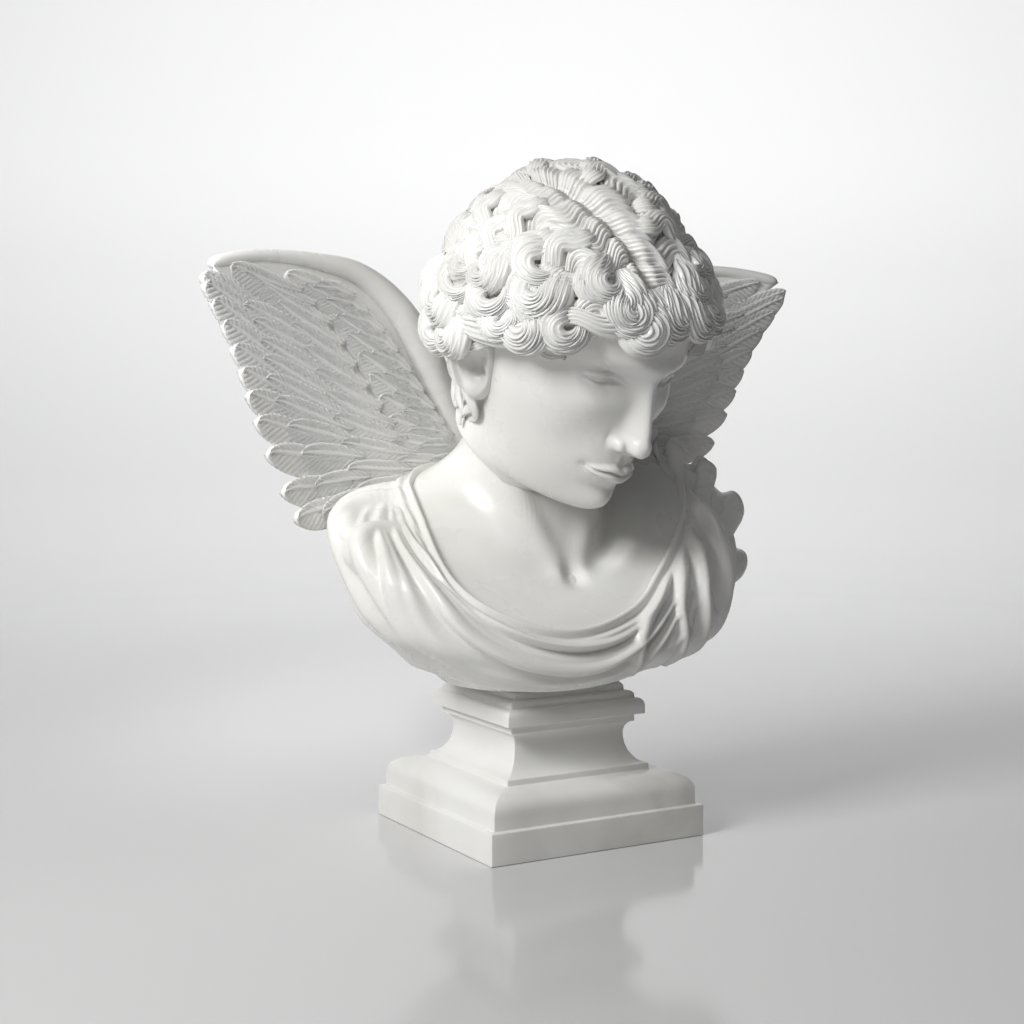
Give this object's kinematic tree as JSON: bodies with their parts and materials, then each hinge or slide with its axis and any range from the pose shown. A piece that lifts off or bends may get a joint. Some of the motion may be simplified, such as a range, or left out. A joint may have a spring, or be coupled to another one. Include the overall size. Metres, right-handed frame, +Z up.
{
  "type": "marble angel bust",
  "caption": "White marble bust of a winged youth with curly parted hair, bowed head and draped shoulders, on a square moulded pedestal.",
  "frame": {"origin": "middle of the plinth's underside", "axes": "+Z up, the figure's chest and the pedestal's front face look along -Y, the figure's left is +X"},
  "size_m": [0.5351, 0.2939, 0.5322],
  "materials": {
    "bust_marble": "polished white marble",
    "pedestal_marble": "polished white marble"
  },
  "bodies": {
    "root": {"bust": "bust_marble", "pedestal": "pedestal_marble"}
  },
  "joints": []
}
